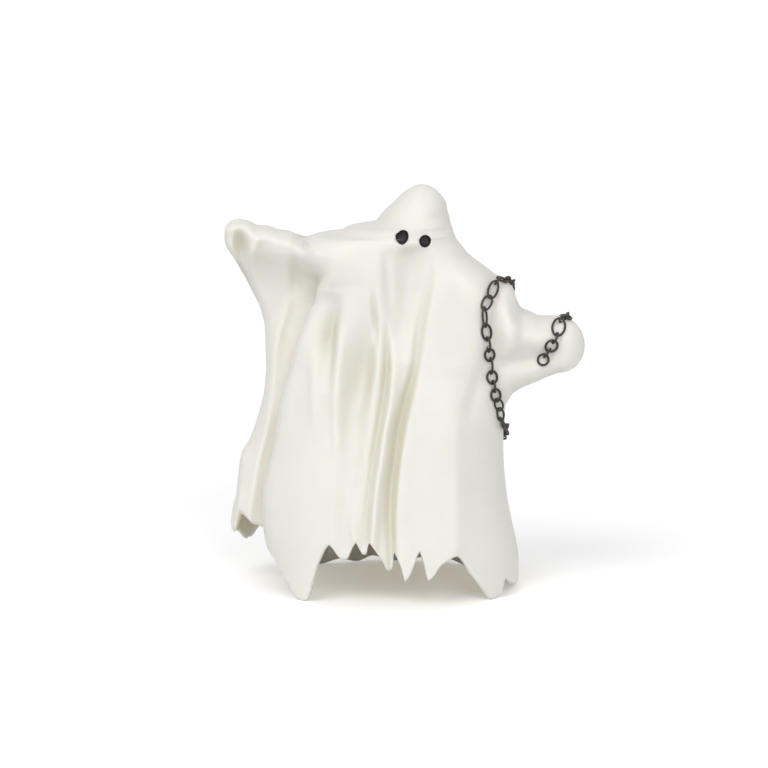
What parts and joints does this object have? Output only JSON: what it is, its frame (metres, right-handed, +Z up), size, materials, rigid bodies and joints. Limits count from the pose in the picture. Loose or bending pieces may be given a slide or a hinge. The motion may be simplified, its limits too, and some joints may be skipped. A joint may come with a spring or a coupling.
{
  "type": "ghost figurine",
  "caption": "Small glow-in-the-dark ghost figurine: a draped sheet with ragged hem, one raised arm, one bent arm, dark eyes and a dark chain laid over its shoulder.",
  "frame": {"origin": "on the floor, under the middle of the figurine's outline", "axes": "+Z up; the face and the chain's front look along -Y; the raised arm is on the -X side and the bent arm on the +X side"},
  "size_m": [0.0706, 0.0418, 0.0802],
  "materials": {
    "glow_plastic": "satin, slightly translucent phosphorescent vinyl, off-white by daylight",
    "eye_paint": "near-black paint, satin",
    "chain_paint": "dark gunmetal brown paint, satin, with a faint metallic sheen"
  },
  "bodies": {
    "root": {"sheet_body": "glow_plastic", "raised_arm": "glow_plastic", "bent_arm": "glow_plastic", "left_eye": "eye_paint", "right_eye": "eye_paint", "chain_link_01": "chain_paint", "chain_link_02": "chain_paint", "chain_link_03": "chain_paint", "chain_link_04": "chain_paint", "chain_link_05": "chain_paint", "chain_link_06": "chain_paint", "chain_link_07": "chain_paint", "chain_link_08": "chain_paint", "chain_link_09": "chain_paint", "chain_link_10": "chain_paint", "chain_link_11": "chain_paint", "chain_link_12": "chain_paint", "chain_link_13": "chain_paint", "chain_link_14": "chain_paint", "chain_link_15": "chain_paint", "chain_link_16": "chain_paint", "chain_link_17": "chain_paint", "chain_link_18": "chain_paint", "chain_link_19": "chain_paint", "chain_link_20": "chain_paint", "chain_link_21": "chain_paint", "chain_link_22": "chain_paint", "chain_link_23": "chain_paint", "chain_link_24": "chain_paint", "chain_link_25": "chain_paint", "chain_link_26": "chain_paint", "chain_link_27": "chain_paint", "chain_link_28": "chain_paint", "chain_link_29": "chain_paint", "chain_link_30": "chain_paint", "chain_link_31": "chain_paint", "chain_link_32": "chain_paint", "chain_link_33": "chain_paint", "chain_link_34": "chain_paint", "chain_link_35": "chain_paint", "chain_link_36": "chain_paint", "chain_link_37": "chain_paint", "chain_link_38": "chain_paint", "chain_link_39": "chain_paint", "chain_link_40": "chain_paint", "chain_link_41": "chain_paint", "chain_link_42": "chain_paint", "chain_link_43": "chain_paint", "chain_link_44": "chain_paint"}
  },
  "joints": []
}
